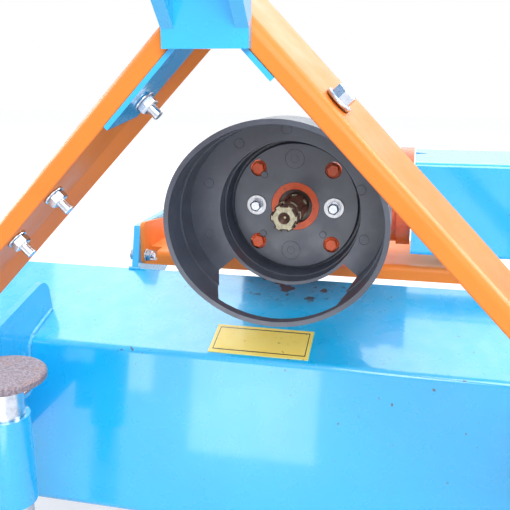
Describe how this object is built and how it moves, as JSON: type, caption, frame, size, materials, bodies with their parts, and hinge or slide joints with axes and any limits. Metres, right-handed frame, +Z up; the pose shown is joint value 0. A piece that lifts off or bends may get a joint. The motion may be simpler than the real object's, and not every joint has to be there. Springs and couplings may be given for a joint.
{
  "type": "three-point headstock with gearbox",
  "caption": "Folded beam with a three-point A-frame, a bevel gearbox on a bridge tray, a splined input shaft in a round guard, and a covered cross shaft.",
  "frame": {"origin": "centre of the bolt rectangle on the rear face of the beam, where the rotor housing is fastened", "axes": "+X to the right seen from behind the tractor looking to the rear, -Y towards the tractor, +Z up"},
  "size_m": [1.018, 0.702, 0.794],
  "materials": {
    "orange_paint": "glossy",
    "cast_orange": "painted casting",
    "blue_paint": "glossy",
    "black_plastic": "moulded, slightly shiny",
    "zinc": "zinc plated",
    "worn_steel": "machined, worn and greasy",
    "bright_steel": "turned",
    "grey_iron": "painted casting",
    "seal_rubber": "matt",
    "scuffed_steel": "scuffed with thin rust",
    "yellow_plate": "satin"
  },
  "bodies": {
    "headstock": {"back_plate": "blue_paint", "bridge_tray": "orange_paint", "carrier_left": "blue_paint", "carrier_right": "blue_paint", "deck_sheet": "blue_paint", "end_bearing": "grey_iron", "end_plate_left": "blue_paint", "end_plate_right": "blue_paint", "filler_plug": "zinc", "gearbox_housing": "cast_orange", "guard": "black_plastic", "input_cap": "cast_orange", "input_seal": "seal_rubber", "leg_left": "orange_paint", "leg_right": "orange_paint", "link_pin_left": "zinc", "link_pin_right": "zinc", "link_plate_left": "blue_paint", "link_plate_right": "blue_paint", "output_flange": "cast_orange", "shaft_cover": "blue_paint", "side_cap": "cast_orange", "slope_plate": "yellow_plate", "stand_sleeve": "blue_paint", "top_bracket": "blue_paint"},
    "input_shaft": {"input_shaft": "worn_steel"},
    "cross_shaft": {"cross_shaft": "bright_steel"},
    "stand": {"stand_tube": "zinc", "stand_foot": "scuffed_steel", "stand_pin": "zinc"}
  },
  "joints": [
    {"name": "cross_spin", "type": "hinge", "parent": "headstock", "child": "cross_shaft", "pos_m": [0, 0.052, 0.295], "axis": [1, 0, 0], "continuous": true},
    {"name": "input_spin", "type": "hinge", "parent": "headstock", "child": "input_shaft", "pos_m": [0, -0.06, 0.295], "axis": [0, 1, 0], "continuous": true},
    {"name": "stand_slide", "type": "slide", "parent": "headstock", "child": "stand", "axis": [0, 0, 1], "range_m": [0, 0.12]}
  ],
  "couplings": [
    {"joint": "input_spin", "follows": "cross_spin", "ratio": 0.33333}
  ]
}
